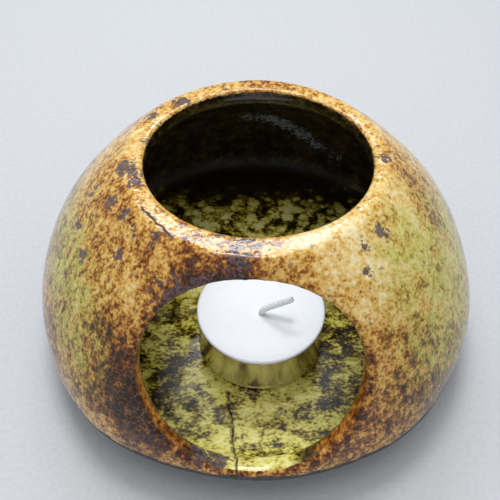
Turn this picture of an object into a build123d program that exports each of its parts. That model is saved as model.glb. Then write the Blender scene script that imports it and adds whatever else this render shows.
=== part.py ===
from build123d import *
import os
from math import acos, asin, cos, degrees, radians, sin, sqrt

# A glazed stoneware burner: one thrown dome with a closed floor, an oval mouth cut in its top
# and a larger oval opening cut in its front. A wax candle in a thin metal cup stands on the
# floor. All lengths are in millimetres, +Z is up and the front opening faces -Y. The origin
# is on the table, under the middle of the foot.

# Dome, outside
belly_radius = 67.4
belly_height = 15.6
belly_arc_radius = 41.0
belly_turn_deg = 18.8
shoulder_arc_radius = 81.7
rim_outer_radius = 35.1

# Heel and foot, below the widest ring
heel_arc_radius = 5.0
heel_turn_deg = 60.0
foot_radius = 53.5
foot_height = 2.5
foot_ring_width = 7.5
foot_recess_depth = 3.2
foot_edge_round = 0.8

# Dome, inside
wall = 6.0
floor_height = 11.0
floor_corner_radius = 6.0
roof_tuck = 8.7

# Mouth in the top, an oval a little narrower from front to back
lip_side_width = 4.3
lip_front_width = 5.9
mouth_offset_x = 0.5
mouth_offset_y = -0.2
lip_inner_round_share = 0.42
lip_outer_round_share = 1.0
lip_lower_round_share = 0.2

# Opening in the front, cut along an axis that rises towards the front
opening_half_width = 28.9
opening_offset_x = -1.6
opening_rise_deg = 5.7
bridge_drop = 1.1
sill_rise = 7.2
opening_outer_round = 1.7
opening_inner_round = 1.0

# Candle, measured from the floor that it stands on
candle_x = 1.5
candle_y = -19.4
seat_gap = 0.2
cup_radius = 19.0
cup_height = 14.3
cup_sheet = 0.35
cup_heel_radius = 1.2
cup_base_lift = 0.9
cup_base_ring_width = 2.6
cup_rim_round_share = 0.4

wax_gap = 0.06
wax_crown = 0.7
wax_edge_round = 0.9

plate_radius = 6.5
plate_sheet = 0.4
neck_radius = 1.7
neck_height = 3.6

wick_radius = 1.0
wick_gap = 0.06
wick_offset_y = -1.7
wick_bend_radius = 2.6
wick_lean_deg = 52.0
wick_turn_deg = -9.0
wick_free_length = 10.4
wick_tip_round_share = 0.3

# Cutting tools run past what they cut by this much
overrun = 5.0

# An edge lies on a tool where it is nearer than this at each of these shares of its length
touch = 0.01
probe_shares = (0.13, 0.37, 0.62, 0.88)


def ring_point(centre, radius, angle_deg):
    """Point on an arc in the profile plane, as (distance from the axis, height)."""
    return (
        centre[0] + radius * cos(radians(angle_deg)),
        centre[1] + radius * sin(radians(angle_deg)),
    )


# Centres of the arcs that make the dome's outer profile, and of the inside's two. The roof's
# arc is tighter inside than out by the tuck, so the roof thickens towards the mouth.
heel_centre = (belly_radius - heel_arc_radius, belly_height)
belly_centre = (belly_radius - belly_arc_radius, belly_height)
shoulder_start = ring_point(belly_centre, belly_arc_radius, belly_turn_deg)
shoulder_centre = ring_point(shoulder_start, -shoulder_arc_radius, belly_turn_deg)
belly_inside_radius = belly_arc_radius - wall
roof_radius = shoulder_arc_radius - wall - roof_tuck
roof_start = ring_point(belly_centre, belly_inside_radius, belly_turn_deg)
roof_centre = ring_point(roof_start, -roof_radius, belly_turn_deg)

# Rim and mouth, worked out from the shoulder
rim_height = shoulder_centre[1] + sqrt(
    shoulder_arc_radius**2 - (rim_outer_radius - shoulder_centre[0]) ** 2
)
mouth_half_width = rim_outer_radius - lip_side_width
mouth_half_depth = rim_outer_radius - lip_front_width

# Front opening: its top passes a little under the roof's inner edge at the front of the mouth,
# its sill is on the outside of the dome, and the oval lies between them
opening_rise = radians(opening_rise_deg)
mouth_front = mouth_half_depth - mouth_offset_y
roof_edge_height = roof_centre[1] + sqrt(roof_radius**2 - (mouth_front - roof_centre[0]) ** 2)
opening_top = roof_edge_height - bridge_drop
sill_height = floor_height + sill_rise
across_top = opening_top * cos(opening_rise) - mouth_front * sin(opening_rise)
across_sill = sill_height * cos(opening_rise) - belly_radius * sin(opening_rise)
opening_half_height = (across_top - across_sill) / 2
opening_axis_height = (across_top + across_sill) / 2 / cos(opening_rise)

# Candle levels
cup_bottom = floor_height + seat_gap
cup_floor = cup_bottom + cup_base_lift + cup_sheet
cup_top = cup_bottom + cup_height
wax_top = cup_top + wax_crown
wax_radius = cup_radius - cup_sheet - wax_gap
plate_bottom = cup_floor + wax_gap
plate_top = plate_bottom + plate_sheet
neck_top = plate_bottom + neck_height
wick_y = candle_y + wick_offset_y


def turned(edges):
    """Solid of revolution about Z from the edges of a half profile."""
    return revolve(Plane.YZ * make_face(Curve() + edges), Axis.Z)


def dome_outside():
    """The whole thrown form with its foot, as a solid lump with a flat rim."""
    heel_end = ring_point(heel_centre, heel_arc_radius, -heel_turn_deg)
    rim_angle = degrees(acos((rim_outer_radius - shoulder_centre[0]) / shoulder_arc_radius))
    heel = CenterArc(heel_centre, heel_arc_radius, -heel_turn_deg, heel_turn_deg)
    belly = CenterArc(belly_centre, belly_arc_radius, 0, belly_turn_deg)
    shoulder = CenterArc(
        shoulder_centre, shoulder_arc_radius, belly_turn_deg, rim_angle - belly_turn_deg
    )
    foot = Polyline((0, 0), (foot_radius, 0), (foot_radius, foot_height), heel_end)
    top = Polyline((rim_outer_radius, rim_height), (0, rim_height), (0, 0))
    return turned([foot, heel, belly, shoulder, top])


def dome_inside():
    """The hollow under the roof's arc and the belly's, over a flat floor with a round corner."""
    floor_angle = degrees(asin((floor_height - belly_height) / belly_inside_radius))
    floor_corner = ring_point(belly_centre, belly_inside_radius, floor_angle)
    belly = CenterArc(
        belly_centre, belly_inside_radius, floor_angle, belly_turn_deg - floor_angle
    )
    top_angle = degrees(acos(-roof_centre[0] / roof_radius))
    apex = ring_point(roof_centre, roof_radius, top_angle)
    roof = CenterArc(roof_centre, roof_radius, belly_turn_deg, top_angle - belly_turn_deg)
    close = Polyline(apex, (0, floor_height), floor_corner)
    hollow = turned([belly, roof, close])
    return fillet(hollow.edges().group_by(Axis.Z)[0], floor_corner_radius)


def mouth_tool():
    """Upright oval prism that cuts the mouth through the roof."""
    start = Plane.XY.offset(shoulder_start[1]) * Pos(mouth_offset_x, mouth_offset_y)
    height = rim_height + overrun - shoulder_start[1]
    return extrude(start * Ellipse(mouth_half_width, mouth_half_depth), height)


def opening_tool():
    """Oval prism that cuts the front opening, starting inside the hollow."""
    start = mouth_half_depth / 2
    out = Vector(0, -cos(opening_rise), sin(opening_rise))
    origin = Vector(opening_offset_x, 0, opening_axis_height) + out * start
    plane = Plane(origin=origin, x_dir=(1, 0, 0), z_dir=out)
    return extrude(plane * Ellipse(opening_half_width, opening_half_height), belly_radius + overrun)


def foot_recess_tool():
    """Disc that leaves a foot ring by hollowing the underside."""
    disc = Cylinder(
        foot_radius - foot_ring_width,
        foot_recess_depth + overrun,
        align=(Align.CENTER, Align.CENTER, Align.MAX),
    )
    return Pos(0, 0, foot_recess_depth) * disc


def edges_left_by(tool, solid, outside):
    """Edges that a tool's side wall left in the dome, on its outer or its inner skin."""
    side = tool.faces().sort_by(SortBy.AREA)[-1]
    hollow = dome_inside()
    found = ShapeList()
    for edge in solid.edges():
        on_tool = all(side.distance_to(edge @ share) < touch for share in probe_shares)
        far = hollow.distance_to(edge @ 0.5) > wall / 2
        if on_tool and far == outside and edge.geom_type != GeomType.LINE:
            found.append(edge)
    return found


def with_mouth(shell):
    """Cuts the oval mouth and rounds its lip: the rim's shoulder, the lip and its lower edge."""
    tool = mouth_tool()
    cut = shell - tool
    rim = cut.edges().group_by(Axis.Z)[-1].sort_by(SortBy.LENGTH)[-1]
    cut = fillet([rim], lip_side_width * lip_outer_round_share)
    cut = fillet(edges_left_by(tool, cut, True), lip_side_width * lip_inner_round_share)
    return fillet(edges_left_by(tool, cut, False), lip_side_width * lip_lower_round_share)


def with_opening(shell):
    """Cuts the front opening and rounds it outside and inside, which also shapes the sill."""
    tool = opening_tool()
    cut = shell - tool
    cut = fillet(edges_left_by(tool, cut, True), opening_outer_round)
    return fillet(edges_left_by(tool, cut, False), opening_inner_round)


def ceramic_body():
    """Dome, floor and foot as one fired piece, with both openings and their rounded edges."""
    shell = dome_outside() - dome_inside() - foot_recess_tool()
    shell = fillet(shell.edges().group_by(Axis.Z)[0], foot_edge_round)
    return with_opening(with_mouth(shell))


def upright(radius, bottom, top, x=candle_x, y=candle_y):
    """Upright cylinder between two heights, on the candle's axis unless placed elsewhere."""
    standing = Cylinder(radius, top - bottom, align=(Align.CENTER, Align.CENTER, Align.MIN))
    return Pos(x, y, bottom) * standing


def tealight_cup():
    """Pressed metal cup: thin wall, round heel, and a base lifted inside a narrow ring."""
    step_radius = cup_radius - cup_heel_radius - cup_base_ring_width
    outer = upright(cup_radius, cup_bottom, cup_top)
    outer = fillet(outer.edges().group_by(Axis.Z)[0], cup_heel_radius)
    inner = upright(cup_radius - cup_sheet, cup_bottom + cup_sheet, cup_top + overrun)
    inner = fillet(inner.edges().group_by(Axis.Z)[0], cup_heel_radius - cup_sheet)
    step = upright(step_radius, cup_bottom, cup_floor)
    dent = upright(step_radius - cup_sheet, cup_bottom - overrun, cup_floor - cup_sheet)
    rim = fillet((outer - inner).edges().group_by(Axis.Z)[-1], cup_sheet * cup_rim_round_share)
    return rim + step - dent


def wax():
    """Wax cast round the plate and wick, with a soft upper edge that stands over the cup."""
    step_radius = cup_radius - cup_heel_radius - cup_base_ring_width + wax_gap
    bottom = cup_bottom + cup_sheet + wax_gap
    cast = upright(wax_radius, bottom, wax_top)
    cast = fillet(cast.edges().group_by(Axis.Z)[0], cup_heel_radius - cup_sheet)
    cast = fillet(cast.edges().group_by(Axis.Z)[-1], wax_edge_round)
    cast -= upright(step_radius, bottom - overrun, plate_bottom)
    cast -= upright(plate_radius + wax_gap, plate_bottom, plate_top + wax_gap, y=wick_y)
    cast -= upright(neck_radius + wax_gap, plate_bottom, neck_top + wax_gap, y=wick_y)
    return cast - upright(wick_radius + wick_gap, plate_bottom, wax_top + overrun, y=wick_y)


def wick_plate():
    """Thin disc with a short neck that holds the wick upright in the wax."""
    disc = upright(plate_radius, plate_bottom, plate_top, y=wick_y)
    neck = upright(neck_radius, plate_bottom, neck_top, y=wick_y)
    bore = upright(wick_radius + wick_gap, plate_bottom - overrun, neck_top + overrun, y=wick_y)
    return disc + neck - bore


def wick():
    """Round wick, upright through the wax and bent over to one side above it."""
    turn = radians(wick_turn_deg)
    root = Plane(
        origin=(candle_x, wick_y, plate_bottom),
        x_dir=(cos(turn), sin(turn), 0),
        z_dir=(sin(turn), -cos(turn), 0),
    )
    rise = wax_top - plate_bottom
    stem = Line((0, 0), (0, rise))
    bend = JernArc(stem @ 1, stem % 1, wick_bend_radius, -wick_lean_deg)
    free = Line(bend @ 1, bend @ 1 + (bend % 1) * wick_free_length)
    path = root * (Curve() + [stem, bend, free])
    section = Pos(candle_x, wick_y, plate_bottom) * Circle(wick_radius)
    strand = sweep(section, path)
    tip = strand.edges().filter_by(GeomType.CIRCLE).sort_by(Axis.Z)[-1]
    return fillet([tip], wick_radius * wick_tip_round_share)


os.makedirs("parts", exist_ok=True)
pieces = {
    "ceramic_body": ceramic_body(),
    "tealight_cup": tealight_cup(),
    "wax": wax(),
    "wick_plate": wick_plate(),
    "wick": wick(),
}
for name, piece in pieces.items():
    piece.label = name
    export_step(piece, f"parts/{name}.step")
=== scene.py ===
"""A glazed stoneware burner and its candle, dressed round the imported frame.

The dome is turned from a half profile, cut by an oval prism and evened out into one fine skin.
Each point of the skin carries marks that say where it lies: on the lip, on a cut edge, inside,
on the floor or on the bare foot. The glaze reads these marks and lays its mottling over them.
All lengths are in metres. The front opening faces -Y and +Z is up.
"""

import logging
import math
from dataclasses import dataclass, field
from enum import Enum
from typing import Any, Callable, Sequence

import bmesh
import bpy
import numpy as np
from mathutils import Matrix, Vector, noise


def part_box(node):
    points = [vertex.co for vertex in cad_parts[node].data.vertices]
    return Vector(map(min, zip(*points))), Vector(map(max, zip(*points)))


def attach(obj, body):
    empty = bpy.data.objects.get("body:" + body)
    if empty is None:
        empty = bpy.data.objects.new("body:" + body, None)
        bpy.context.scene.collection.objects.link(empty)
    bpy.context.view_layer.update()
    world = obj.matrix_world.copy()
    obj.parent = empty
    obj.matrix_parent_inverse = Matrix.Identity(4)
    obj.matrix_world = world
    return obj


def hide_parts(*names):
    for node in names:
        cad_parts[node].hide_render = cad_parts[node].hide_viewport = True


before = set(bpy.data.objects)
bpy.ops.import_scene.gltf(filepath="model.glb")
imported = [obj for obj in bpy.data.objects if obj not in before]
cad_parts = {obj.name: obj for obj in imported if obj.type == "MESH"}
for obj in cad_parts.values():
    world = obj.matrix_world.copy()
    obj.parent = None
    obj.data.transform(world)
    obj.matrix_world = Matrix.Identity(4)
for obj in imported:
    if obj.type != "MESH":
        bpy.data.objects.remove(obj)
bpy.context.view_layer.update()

log = logging.getLogger("burner")

MM = 0.001
WELD = 0.001 * MM
HEIGHT_SHARE = 0.25

Point = tuple[float, float, float]
Stops = Sequence[tuple[float, str]]


def linear(code: str) -> tuple[float, float, float, float]:
    """Linear colour of a hex code, which says how the colour looks on a screen.

    Args:
        code: Six hex digits after a hash mark.

    Returns:
        Red, green, blue and an alpha of one.
    """
    shares = [int(code[i : i + 2], 16) / 255 for i in (1, 3, 5)]
    red, green, blue = [s / 12.92 if s <= 0.04045 else ((s + 0.055) / 1.055) ** 2.4 for s in shares]
    return red, green, blue, 1.0


def ease(values: np.ndarray, low: float, high: float) -> np.ndarray:
    """Smooth step of an array from nought at low to one at high, which may be the smaller."""
    t = np.clip((values - low) / (high - low), 0.0, 1.0)
    return t * t * (3 - 2 * t)


# Modelling


class Lathe:
    """Draws a half profile in the XZ plane with a pen, then turns it about Z."""

    def __init__(self, radius: float, height: float) -> None:
        """Puts the pen down at a distance from the axis and a height."""
        self.mesh = bmesh.new()
        self.pen = self.mesh.verts.new((radius, 0.0, height))

    def line(self, radius: float, height: float, step: float = math.inf) -> "Lathe":
        """Draws a straight line.

        Args:
            radius: Distance of its end from the axis.
            height: Height of its end.
            step: Longest edge that it is divided into.

        Returns:
            The lathe, for the next stroke.
        """
        start, goal = self.pen.co.copy(), Vector((radius, 0.0, height))
        count = max(1, math.ceil((goal - start).length / step))
        for i in range(count):
            self.pen = bmesh.ops.extrude_vert_indiv(self.mesh, verts=[self.pen])["verts"][0]
            self.pen.co = start.lerp(goal, (i + 1) / count)
        return self

    def arc(self, centre: tuple[float, float], turn: float, step: float) -> "Lathe":
        """Draws an arc by turning the pen about a centre.

        Args:
            centre: Distance from the axis and height of the arc's centre.
            turn: Angle in radians, positive from +X towards +Z.
            step: Longest edge that it is divided into.

        Returns:
            The lathe, for the next stroke.
        """
        middle = Vector((centre[0], 0.0, centre[1]))
        count = max(2, math.ceil((self.pen.co - middle).length * abs(turn) / step))
        swept = bmesh.ops.spin(
            self.mesh, geom=[self.pen], cent=middle, axis=(0, -1, 0), angle=turn, steps=count
        )
        self.pen = next(e for e in swept["geom_last"] if isinstance(e, bmesh.types.BMVert))
        return self

    def turned(self, segments: int) -> bmesh.types.BMesh:
        """Turns the profile once round Z and closes the seam and the poles.

        Args:
            segments: Number of steps in the full turn.

        Returns:
            The closed mesh, with its faces outwards.
        """
        drawn = self.mesh.verts[:] + self.mesh.edges[:]
        bmesh.ops.spin(
            self.mesh, geom=drawn, cent=(0, 0, 0), axis=(0, 0, 1), angle=math.tau,
            steps=segments, use_merge=True,
        )
        bmesh.ops.remove_doubles(self.mesh, verts=self.mesh.verts, dist=WELD)
        bmesh.ops.recalc_face_normals(self.mesh, faces=self.mesh.faces)
        return self.mesh


def as_object(name: str, mesh: bmesh.types.BMesh) -> bpy.types.Object:
    """Turns a bmesh into a smooth-shaded object at the origin and frees it."""
    data = bpy.data.meshes.new(name)
    mesh.to_mesh(data)
    mesh.free()
    data.shade_smooth()
    made = bpy.data.objects.new(name, data)
    bpy.context.scene.collection.objects.link(made)
    return made


def settled(piece: bpy.types.Object) -> bpy.types.Object:
    """Bakes a piece's modifiers into its mesh and removes them."""
    graph = bpy.context.evaluated_depsgraph_get()
    data = bpy.data.meshes.new_from_object(piece.evaluated_get(graph))
    piece.modifiers.clear()
    old, piece.data = piece.data, data
    bpy.data.meshes.remove(old)
    return piece


def dress(piece: bpy.types.Object, finish: bpy.types.Material) -> None:
    """Gives a piece one material in all its slots."""
    piece.data.materials.clear()
    piece.data.materials.append(finish)


def placed(piece: bpy.types.Object, body: str, slot: str, *nodes: str) -> bpy.types.Object:
    """Lets a finished piece ride on a body in place of its nodes.

    Args:
        piece: The piece, whose place is in its mesh.
        body: The body that it moves with.
        slot: The record's material slot; not used.
        nodes: The nodes that it stands for.

    Returns:
        The piece.
    """
    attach(piece, body)
    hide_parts(*nodes)
    log.info("%s: %d faces on %s", piece.name, len(piece.data.polygons), body)
    return piece


def distance_to_path(points: np.ndarray, path: Sequence[Point]) -> np.ndarray:
    """Distance of each point from a line of straight runs, in which height counts for little.

    Args:
        points: An array of points, one in a row.
        path: The corners of the line.

    Returns:
        One distance for each point.
    """
    nearest = np.full(len(points), np.inf)
    flat = np.array((1.0, 1.0, HEIGHT_SHARE))
    for a, b in zip(path, path[1:]):
        start, run = np.array(a) * flat, (np.array(b) - np.array(a)) * flat
        share = np.clip((points * flat - start) @ run / (run @ run), 0.0, 1.0)
        away = points * flat - start - share[:, None] * run
        nearest = np.minimum(nearest, np.linalg.norm(away, axis=1))
    return nearest


class Tone(Enum):
    """Ways in which the glaze varies from place to place, and one painted sheen. A tone's value is its mark's name.
    """

    BROWN = "tone_brown"
    CREAM = "tone_cream"
    FROST = "tone_painted_sheen"
    GREEN = "tone_green"
    VIOLET = "tone_violet"


@dataclass(frozen=True)
class Patch:
    """A soft place on the dome where one tone is stronger, in millimetres."""

    x: float
    y: float
    z: float
    reach: float
    strength: float = 1.0

    def weight(self, points: np.ndarray) -> np.ndarray:
        """Strength of the patch at each point, falling off as a bell."""
        offset = points / MM - np.array((self.x, self.y, self.z))
        return self.strength * np.exp(-((offset**2).sum(axis=1)) / self.reach**2)


@dataclass(frozen=True)
class Swell:
    """A soft place where the outside stands out or in, with sizes in millimetres."""

    x: float
    y: float
    z: float
    reach: float
    amount: float

    def lift(self, points: np.ndarray) -> np.ndarray:
        """How far the swell lifts the skin at each point, in metres."""
        offset = points / MM - np.array((self.x, self.y, self.z))
        return self.amount * MM * np.exp(-((offset**2).sum(axis=1)) / self.reach**2)


SWELLS = (
    Swell(-43, -51, 22, 20, 1.7),
    Swell(42, -52, 14, 15, 1.0),
    Swell(0, 52, 56, 26, -1.4),
    Swell(-40, 36, 54, 22, -1.2),
    Swell(40, 36, 54, 22, -1.6),
    Swell(-31, -21, 67, 6.5, 0.6),
    Swell(-24, -30, 67, 6.5, 0.9),
    Swell(-12, -36, 67, 6.5, 1.0),
    Swell(1, -37, 67, 6.5, 1.1),
    Swell(13, -35, 67, 6.5, 0.55),
)

PATCHES: dict[Tone, tuple[Patch, ...]] = {
    Tone.BROWN: (
        Patch(-12, -40, 62, 10),
        Patch(-4, -39, 66, 5, 0.6),
        Patch(-22, -44, 54, 9, 0.7),
        Patch(-35, -49, 40, 13, 0.7),
        Patch(-30, -54, 33, 12, 0.9),
        Patch(-27, -59, 26, 10, 0.7),
        Patch(36, -51, 35, 8, 0.3),
        Patch(25, -60, 28, 8, 0.5),
        Patch(46, -46, 22, 13, 0.5),
        Patch(62, -24, 22, 14, 0.5),
        Patch(40, -3, 65, 5, 0.7),
        Patch(45, -4, 60, 7, 0.6),
        Patch(48, -12, 56, 6, 0.5),
        Patch(31, -22, 66, 5, 0.5),
        Patch(-58, 20, 46, 18, 1.1),
        Patch(-66, 8, 26, 16, 1.1),
        Patch(-46, 40, 50, 16, 1.0),
        Patch(64, 18, 30, 20, 0.8),
        Patch(-60, -28, 22, 12, 0.6),
        Patch(52, -40, 16, 14, 0.6),
        Patch(-28, 54, 30, 18, 0.8),
        Patch(22, 58, 32, 15, 0.6),
        Patch(2, 40, 64, 14, 0.5),
        Patch(12, 66, 18, 16, 0.6),
    ),
    Tone.CREAM: (
        Patch(20, -34, 65, 11, 0.8),
        Patch(30, -37, 58, 10, 0.7),
        Patch(25, -26, 68, 8, 0.5),
        Patch(38, -15, 65, 12, 0.7),
        Patch(-40, -53, 20, 7, 0.7),
        Patch(-31, -39, 56, 7, 0.5),
        Patch(-44, 12, 60, 14, 0.6),
        Patch(45, 12, 57, 14, 0.5),
        Patch(55, -25, 40, 14, 0.4),
        Patch(-52, -40, 22, 10, 0.3),
    ),
    # Painted sheen: a pale blue-grey streak down the inner back wall, painted where the wall reflects light.
    Tone.FROST: (
        Patch(-2, 54, 40, 3.5, 0.7),
        Patch(5, 54, 39, 4.0),
        Patch(11, 55, 35, 4.0),
        Patch(17, 56, 30, 4.0),
        Patch(23, 55, 25, 4.0, 0.8),
        Patch(30, 53, 21, 3.5, 0.5),
    ),
    Tone.GREEN: (
        Patch(-54, -20, 50, 12, 0.9),
        Patch(-57, -8, 45, 12, 0.7),
        Patch(-50, -32, 43, 12, 1.0),
        Patch(-44, -42, 34, 10, 0.8),
        Patch(48, -24, 50, 19, 1.0),
        Patch(57, -14, 36, 20, 0.9),
        Patch(36, -26, 59, 10, 0.6),
        Patch(49, -38, 33, 15, 0.9),
        Patch(20, 62, 40, 20, 0.8),
        Patch(-20, 60, 44, 16, 0.7),
        Patch(57, 10, 40, 20, 0.6),
        Patch(-57, 14, 42, 20, 0.5),
        Patch(0, 60, 40, 24, 0.5),
    ),
    Tone.VIOLET: (
        Patch(-33, -6, 69, 3.2),
        Patch(-31, -11, 69, 2.6),
        Patch(-36, -4, 68, 2.2),
        Patch(-38, -14, 65, 2.4),
        Patch(-33, -20, 66, 2.4),
        Patch(-24, -29, 67, 2.8),
        Patch(-30, -26, 65, 2.0),
        Patch(-48, -13, 55, 2.6),
        Patch(-44, -6, 61, 2.4),
        Patch(-35, -29, 61, 2.6),
        Patch(-46, -23, 54, 2.6),
        Patch(-30, 17, 69, 3.0),
        Patch(-22, 24, 69, 3.2),
        Patch(34, -1, 69, 3.0),
        Patch(31, -25, 65, 2.6),
        Patch(26, -30, 65, 2.2),
        Patch(27, -35, 62, 2.2),
        Patch(-14, -41, 61, 5.0, 0.7),
        Patch(-22, -39, 59, 5.0, 0.6),
        Patch(-4, -36, 67, 4.0, 0.7),
        # Violet patches along the front lip under its highlight: partly the glaze's own violet, partly a painted
        # bluish tint for the reflection there.
        Patch(-18.6, -26.2, 69, 2.6, 0.4),
        Patch(-13.5, -29.2, 69, 2.6, 0.55),
        Patch(-8, -31.3, 69, 2.8, 0.62),
        Patch(-2.4, -32.2, 69, 2.8, 0.66),
        Patch(3.5, -32.2, 69, 2.8, 0.6),
        Patch(9, -31.2, 69, 2.6, 0.45),
        Patch(-10.5, -62.4, 18, 4.4, 1.0),
        Patch(-15.5, -62.0, 20, 2.6, 0.8),
    ),
}


@dataclass
class Dome:
    """The fired body: a turned dome with a floor, a mouth and a front opening."""

    name: str = "glazed_dome"
    belly_height: float = 15.6 * MM
    belly_arc_radius: float = 41.0 * MM
    belly_turn: float = math.radians(18.8)
    shoulder_arc_radius: float = 81.7 * MM
    rim_outer_radius: float = 35.1 * MM
    heel_arc_radius: float = 5.0 * MM
    heel_turn: float = math.radians(60)
    foot_radius: float = 53.5 * MM
    foot_height: float = 2.5 * MM
    foot_ring_width: float = 7.5 * MM
    foot_recess_depth: float = 3.2 * MM
    foot_edge_round: float = 0.8 * MM
    wall: float = 6.0 * MM
    roof_tuck: float = 8.7 * MM
    floor_height: float = 11.0 * MM
    floor_corner_radius: float = 6.0 * MM
    lip_side_width: float = 4.3 * MM
    lip_front_width: float = 5.9 * MM
    lip_inner_round: float = 1.8 * MM
    lip_outer_round: float = 4.3 * MM
    mouth_x: float = 0.5 * MM
    mouth_y: float = -0.2 * MM
    opening_half_width: float = 28.5 * MM
    opening_x: float = -1.4 * MM
    opening_rise: float = math.radians(5.7)
    bridge_drop: float = 0.4 * MM
    sill_rise: float = 7.2 * MM
    profile_step: float = 1.6 * MM
    turn_steps: int = 168
    voxel: float = 0.62 * MM
    thinned_share: float = 0.3
    cut_outer_round: float = 1.4 * MM
    cut_inner_round: float = 0.8 * MM
    sharp_turn: float = math.radians(20)
    crack: tuple[Point, ...] = (
        (-8.3 * MM, -39.0 * MM, 11 * MM),
        (-7.8 * MM, -44 * MM, 11 * MM),
        (-6.8 * MM, -48 * MM, 11 * MM),
        (-6.5 * MM, -54 * MM, 11 * MM),
        (-6.0 * MM, -58 * MM, 11.9 * MM),
        (-5.6 * MM, -61 * MM, 15.5 * MM),
        (-5.3 * MM, -63.5 * MM, 17.8 * MM),
        (-5.1 * MM, -66.6 * MM, 18.0 * MM),
    )
    scratch: tuple[Point, ...] = (
        (-28.6 * MM, -20.0 * MM, 69.0 * MM),
        (-26.3 * MM, -23.1 * MM, 68.9 * MM),
        (-23.6 * MM, -26.3 * MM, 68.8 * MM),
        (-20.5 * MM, -29.9 * MM, 68.3 * MM),
    )
    brow_depth: float = 0.2 * MM
    brow_share: float = 0.12
    crack_width: float = 0.38 * MM
    crack_depth: float = 0.22 * MM

    def __post_init__(self) -> None:
        """Works out the profile's centres and the oval from the sizes and the frame."""
        low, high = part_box("ceramic_body")
        self.belly_radius = (high.x - low.x) / 2
        self.rim_height = high.z
        self.belly_centre = (self.belly_radius - self.belly_arc_radius, self.belly_height)
        shoulder_start = self.on_arc(self.belly_centre, self.belly_arc_radius, self.belly_turn)
        self.shoulder_centre = self.on_arc(
            shoulder_start, -self.shoulder_arc_radius, self.belly_turn
        )
        self.belly_inside_radius = self.belly_arc_radius - self.wall
        self.roof_radius = self.shoulder_arc_radius - self.wall - self.roof_tuck
        roof_start = self.on_arc(self.belly_centre, self.belly_inside_radius, self.belly_turn)
        self.roof_centre = self.on_arc(roof_start, -self.roof_radius, self.belly_turn)
        self.shoulder_bottom = shoulder_start[1]
        self.mouth_half_width = self.rim_outer_radius - self.lip_side_width
        self.mouth_half_depth = self.rim_outer_radius - self.lip_front_width
        self.mouth_radius = (self.mouth_half_width + self.mouth_half_depth) / 2
        front = self.mouth_half_depth - self.mouth_y
        roof_edge = self.roof_centre[1] + math.sqrt(
            self.roof_radius**2 - (front - self.roof_centre[0]) ** 2
        )
        top = self.across(front, roof_edge - self.bridge_drop)
        sill = self.across(self.belly_radius, self.floor_height + self.sill_rise)
        self.opening_half_height = (top - sill) / 2
        self.opening_middle = (top + sill) / 2

    @staticmethod
    def on_arc(centre: tuple[float, float], radius: float, angle: float) -> tuple[float, float]:
        """Point on an arc in the profile plane."""
        return centre[0] + radius * math.cos(angle), centre[1] + radius * math.sin(angle)

    def across(self, ahead: float, height: float) -> float:
        """Coordinate across the front opening's axis of a point this far towards -Y."""
        return height * math.cos(self.opening_rise) - ahead * math.sin(self.opening_rise)

    def turned(self) -> bmesh.types.BMesh:
        """Turns the whole wall from the middle of the floor to the middle of the underside."""
        step, corner = self.profile_step, self.floor_corner_radius
        lift = self.floor_height + corner - self.belly_height
        corner_angle = math.asin(lift / (self.belly_inside_radius - corner))
        corner_x = self.on_arc(self.belly_centre, self.belly_inside_radius - corner, corner_angle)[0]
        mouth_angle = math.acos((self.mouth_radius - self.roof_centre[0]) / self.roof_radius)
        lathe = Lathe(0.0, self.floor_height).line(corner_x, self.floor_height, step)
        corner_centre = (corner_x, self.floor_height + corner)
        lathe.arc(corner_centre, math.pi / 2 + corner_angle, step)
        lathe.arc(self.belly_centre, self.belly_turn - corner_angle, step)
        lathe.arc(self.roof_centre, mouth_angle - self.belly_turn, step)
        self.draw_lip(lathe)
        self.draw_foot(lathe)
        return lathe.turned(self.turn_steps)

    def draw_lip(self, lathe: Lathe) -> None:
        """Draws the mouth's wall, its lip and the dome's outside down to the widest ring."""
        fine = self.profile_step / 3
        inner, outer = self.lip_inner_round, self.lip_outer_round
        lathe.line(self.mouth_radius, self.rim_height - inner, self.profile_step)
        lathe.arc((self.mouth_radius + inner, self.rim_height - inner), -math.pi / 2, fine)
        round_height = self.rim_height - outer - self.shoulder_centre[1]
        angle = math.asin(round_height / (self.shoulder_arc_radius - outer))
        centre = self.on_arc(self.shoulder_centre, self.shoulder_arc_radius - outer, angle)
        lathe.line(centre[0], self.rim_height, fine)
        lathe.arc(centre, angle - math.pi / 2, fine)
        lathe.arc(self.shoulder_centre, self.belly_turn - angle, self.profile_step)
        lathe.arc(self.belly_centre, -self.belly_turn, self.profile_step)

    def draw_foot(self, lathe: Lathe) -> None:
        """Draws the heel, the foot ring and the recess under the floor."""
        step, edge = self.profile_step, self.foot_edge_round
        heel_centre = (self.belly_radius - self.heel_arc_radius, self.belly_height)
        lathe.arc(heel_centre, -self.heel_turn, step)
        lathe.line(self.foot_radius, self.foot_height, step).line(self.foot_radius, edge, step)
        lathe.arc((self.foot_radius - edge, edge), -math.pi / 2, step)
        ring_inside = self.foot_radius - self.foot_ring_width
        lathe.line(ring_inside, 0.0, step).line(ring_inside, self.foot_recess_depth, step)
        lathe.line(0.0, self.foot_recess_depth, step)

    def pull_mouth_oval(self, mesh: bmesh.types.BMesh) -> None:
        """Pulls the round mouth into its oval, which fades out across the lip."""
        wide = self.mouth_half_width / self.mouth_radius
        deep = self.mouth_half_depth / self.mouth_radius
        fade = self.rim_outer_radius - self.mouth_radius
        for vert in mesh.verts:
            radius = math.hypot(vert.co.x, vert.co.y)
            if vert.co.z < self.shoulder_bottom or radius < self.mouth_radius - MM:
                continue
            share = max(0.0, 1 - (radius - self.mouth_radius) / fade)
            vert.co.x += share * ((wide - 1) * vert.co.x + self.mouth_x)
            vert.co.y += share * ((deep - 1) * vert.co.y + self.mouth_y)

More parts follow.
